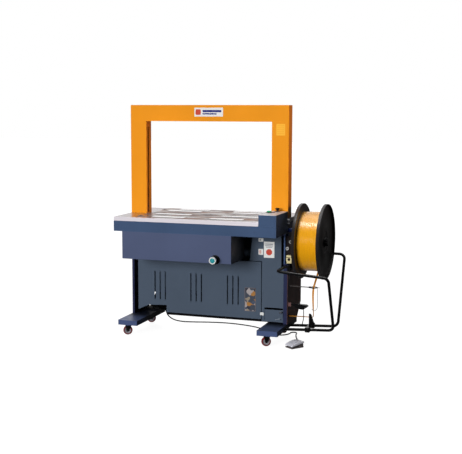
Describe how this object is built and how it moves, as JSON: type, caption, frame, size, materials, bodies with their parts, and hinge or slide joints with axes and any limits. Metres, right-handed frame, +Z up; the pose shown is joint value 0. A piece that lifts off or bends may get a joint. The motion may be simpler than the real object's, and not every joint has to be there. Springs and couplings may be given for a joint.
{
  "type": "arch strapping machine",
  "caption": "Table-height arch strapping machine on swivel casters, with lift-up lids, hung electric box, side strap reel, tube stand and foot switch.",
  "frame": {"origin": "centre of the machine's footprint box on the floor, measured without the foot switch's cord", "axes": "+X to the operator's right, towards the strap reel; +Y from the operator's side to the rear; +Z up"},
  "size_m": [1.388, 0.684, 1.482],
  "materials": {
    "blue_paint": "semi-gloss textured powder coat, dark blue",
    "box_paint": "semi-gloss powder coat, violet blue",
    "grey_paint": "satin powder coat, slate grey",
    "dark_paint": "satin powder coat, dark brown-grey",
    "orange_paint": "semi-gloss powder coat, orange",
    "stainless": "brushed stainless, bright",
    "zinc_steel": "zinc plated",
    "machined_steel": "ground",
    "cast_head": "as cast, painted",
    "black_tube": "gloss black paint",
    "black_plastic": "fine moulded grain",
    "reel_black": "satin black",
    "strap_yellow": "polypropylene strap, embossed",
    "green_plastic": "glossy",
    "pale_plastic": "glossy",
    "white_plate": "blank printed plate",
    "pale_paint": "pale grey paint",
    "red_tread": "polyurethane tread",
    "cream_plastic": "nylon",
    "white_nylon": "nylon",
    "switch_silver": "painted die casting",
    "cord_black": "PVC sheath",
    "motor_blue": "gloss blue"
  },
  "bodies": {
    "machine": {"feet": "blue_paint", "frame": "blue_paint", "caster_plates": "zinc_steel", "front_panel": "grey_paint", "rear_panel": "grey_paint", "side_covers": "dark_paint", "base_tray": "dark_paint", "column_cover": "grey_paint", "apron_panels": "blue_paint", "table_top": "stainless", "head_cover": "stainless", "arch_leg_left": "orange_paint", "arch_leg_right": "orange_paint", "arch_beam": "orange_paint", "strap_track": "black_plastic", "blank_plates": "white_plate", "electric_box": "box_paint", "button_collars": "black_plastic", "control_box": "blue_paint", "control_top_plate": "pale_paint", "reel_shaft": "machined_steel", "reel_bracket": "dark_paint", "stand_tube_front": "black_tube", "stand_tube_rear": "black_tube", "guide_post": "black_tube", "strap_lead": "strap_yellow", "feeder_plate": "dark_paint", "feed_motor": "motor_blue", "sealing_head": "cast_head", "main_motor": "cast_head", "foot_switch_base": "black_plastic", "cord_gland": "black_plastic", "foot_switch_cord": "cord_black", "screws": "zinc_steel"},
    "reel": {"reel_flange_inner": "reel_black", "reel_flange_outer": "reel_black", "strap_coil": "strap_yellow", "reel_knob": "black_plastic"},
    "dancer": {"dancer_arm": "zinc_steel"},
    "end_lever": {"end_lever": "black_plastic"},
    "start_button": {"start_button": "green_plastic"},
    "power_button": {"power_button": "green_plastic"},
    "stop_button": {"stop_button": "pale_plastic"},
    "tension_knob": {"tension_knob": "black_plastic"},
    "lid_left": {"lid_left": "stainless"},
    "lid_right": {"lid_right": "stainless"},
    "service_door": {"service_door": "grey_paint"},
    "track_gates": {"track_gates": "machined_steel"},
    "feed_roller": {"feed_roller": "white_nylon"},
    "pinch_roller": {"pinch_roller": "white_nylon"},
    "cam_shaft": {"cam_shaft": "machined_steel"},
    "foot_pedal": {"foot_switch_pedal": "switch_silver"},
    "caster_front_left": {"caster_fork_front_left": "zinc_steel"},
    "wheel_front_left": {"caster_wheel_front_left": "red_tread"},
    "caster_front_right": {"caster_fork_front_right": "zinc_steel"},
    "wheel_front_right": {"caster_wheel_front_right": "red_tread"},
    "caster_rear_left": {"caster_fork_rear_left": "zinc_steel"},
    "wheel_rear_left": {"caster_wheel_rear_left": "red_tread"},
    "caster_rear_right": {"caster_fork_rear_right": "zinc_steel"},
    "wheel_rear_right": {"caster_wheel_rear_right": "red_tread"}
  },
  "joints": [
    {"name": "caster_swivel_front_left", "type": "hinge", "parent": "machine", "child": "caster_front_left", "pos_m": [-0.627, -0.193, 0.09], "axis": [0, 0, 1], "continuous": true},
    {"name": "wheel_spin_front_left", "type": "hinge", "parent": "caster_front_left", "child": "wheel_front_left", "pos_m": [-0.64204, -0.19847, 0.03], "axis": [-0.342, 0.9397, 0], "continuous": true},
    {"name": "caster_swivel_front_right", "type": "hinge", "parent": "machine", "child": "caster_front_right", "pos_m": [0.309, -0.193, 0.09], "axis": [0, 0, 1], "continuous": true},
    {"name": "wheel_spin_front_right", "type": "hinge", "parent": "caster_front_right", "child": "wheel_front_right", "pos_m": [0.2945, -0.19976, 0.03], "axis": [-0.4226, 0.9063, 0], "continuous": true},
    {"name": "caster_swivel_rear_left", "type": "hinge", "parent": "machine", "child": "caster_rear_left", "pos_m": [-0.627, 0.194, 0.09], "axis": [0, 0, 1], "continuous": true},
    {"name": "wheel_spin_rear_left", "type": "hinge", "parent": "caster_rear_left", "child": "wheel_rear_left", "pos_m": [-0.64204, 0.18853, 0.03], "axis": [-0.342, 0.9397, 0], "continuous": true},
    {"name": "caster_swivel_rear_right", "type": "hinge", "parent": "machine", "child": "caster_rear_right", "pos_m": [0.309, 0.194, 0.09], "axis": [0, 0, 1], "continuous": true},
    {"name": "wheel_spin_rear_right", "type": "hinge", "parent": "caster_rear_right", "child": "wheel_rear_right", "pos_m": [0.30486, 0.17855, 0.03], "axis": [-0.9659, 0.2588, 0], "continuous": true},
    {"name": "reel_spin", "type": "hinge", "parent": "machine", "child": "reel", "pos_m": [0.531, 0.022, 0.637], "axis": [1, 0, 0], "continuous": true},
    {"name": "dancer_swing", "type": "hinge", "parent": "machine", "child": "dancer", "pos_m": [0.391, -0.02, 0.523], "axis": [0, -1, 0], "range_deg": [-6, 12], "stiffness_Nm_per_rad": 1.5, "springref_deg": 2.86, "deforming": ["strap_lead"]},
    {"name": "end_lever_swing", "type": "hinge", "parent": "machine", "child": "end_lever", "pos_m": [0.391, 0.012, 0.229], "axis": [0, -1, 0], "range_deg": [-5, 6], "stiffness_Nm_per_rad": 0.8, "springref_deg": 1.72},
    {"name": "start_button_press", "type": "slide", "parent": "machine", "child": "start_button", "axis": [0, 1, 0], "range_m": [0, 0.004], "stiffness_N_per_m": 400},
    {"name": "power_button_press", "type": "slide", "parent": "machine", "child": "power_button", "axis": [0, 0, -1], "range_m": [0, 0.003], "stiffness_N_per_m": 300},
    {"name": "stop_button_press", "type": "slide", "parent": "machine", "child": "stop_button", "axis": [0, 0, -1], "range_m": [0, 0.003], "stiffness_N_per_m": 300},
    {"name": "tension_knob_turn", "type": "hinge", "parent": "machine", "child": "tension_knob", "pos_m": [0.319, -0.056, 0.83], "axis": [0, 0, 1], "range_deg": [-135, 135]},
    {"name": "lid_left_open", "type": "hinge", "parent": "machine", "child": "lid_left", "pos_m": [-0.5595, 0.028, 0.779], "axis": [0, -1, 0], "range_deg": [0, 88]},
    {"name": "lid_right_open", "type": "hinge", "parent": "machine", "child": "lid_right", "pos_m": [0.2415, 0.028, 0.779], "axis": [0, 1, 0], "range_deg": [0, 88]},
    {"name": "service_door_open", "type": "hinge", "parent": "machine", "child": "service_door", "pos_m": [0.2255, -0.0154, 0.157], "axis": [0, 0, -1], "range_deg": [0, 100]},
    {"name": "track_gates_slide", "type": "slide", "parent": "machine", "child": "track_gates", "axis": [0, 1, 0], "range_m": [0, 0.0065], "stiffness_N_per_m": 400},
    {"name": "feed_roller_spin", "type": "hinge", "parent": "machine", "child": "feed_roller", "pos_m": [0.373, -0.009, 0.588], "axis": [0, 1, 0], "continuous": true},
    {"name": "pinch_roller_spin", "type": "hinge", "parent": "machine", "child": "pinch_roller", "pos_m": [0.394, -0.009, 0.631], "axis": [0, 1, 0], "continuous": true},
    {"name": "cam_shaft_spin", "type": "hinge", "parent": "machine", "child": "cam_shaft", "pos_m": [-0.159, 0.118, 0.65], "axis": [0, 1, 0], "continuous": true},
    {"name": "foot_pedal_press", "type": "hinge", "parent": "machine", "child": "foot_pedal", "pos_m": [0.49247, -0.14385, 0.031], "axis": [0.7986, -0.6018, 0], "range_deg": [0, 4], "stiffness_Nm_per_rad": 12}
  ]
}
